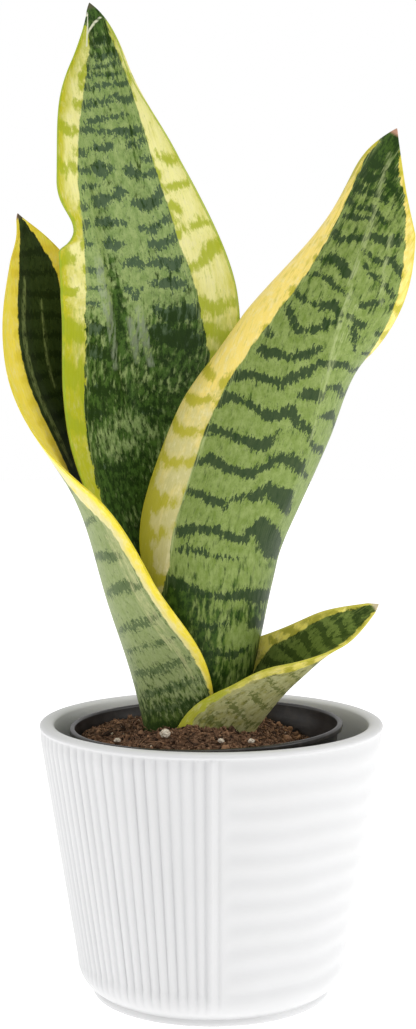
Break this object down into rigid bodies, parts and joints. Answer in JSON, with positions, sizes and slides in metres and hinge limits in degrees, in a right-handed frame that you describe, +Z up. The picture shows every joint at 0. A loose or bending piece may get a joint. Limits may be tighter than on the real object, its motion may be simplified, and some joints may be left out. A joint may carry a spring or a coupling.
{
  "type": "potted snake plant",
  "caption": "Small variegated snake plant: broad upright leaves with yellow margins, rooted in soil in a thin nursery pot that stands in a ribbed white ceramic planter.",
  "frame": {"origin": "centre of the planter's flat underside", "axes": "+Z up; -Y is the front, where the planter's upright flutes meet its level ridges; +X is to the right seen from the front"},
  "size_m": [0.1311, 0.113, 0.3238],
  "materials": {
    "white_glaze": "satin",
    "black_plastic": "satin",
    "potting_soil": "matte",
    "rhizome_flesh": "matte",
    "leaf_tall_skin": "satin",
    "leaf_left_skin": "satin",
    "leaf_right_skin": "satin",
    "leaf_small_skin": "satin",
    "perlite": "matte"
  },
  "bodies": {
    "root": {"planter": "white_glaze", "nursery_pot": "black_plastic", "soil": "potting_soil", "rhizome": "rhizome_flesh", "leaf_tall": "leaf_tall_skin", "leaf_left": "leaf_left_skin", "leaf_right": "leaf_right_skin", "leaf_small": "leaf_small_skin", "perlite_grain_1": "perlite", "perlite_grain_2": "perlite", "perlite_grain_3": "perlite", "perlite_grain_4": "perlite", "perlite_grain_5": "perlite", "perlite_grain_6": "perlite"}
  },
  "joints": []
}
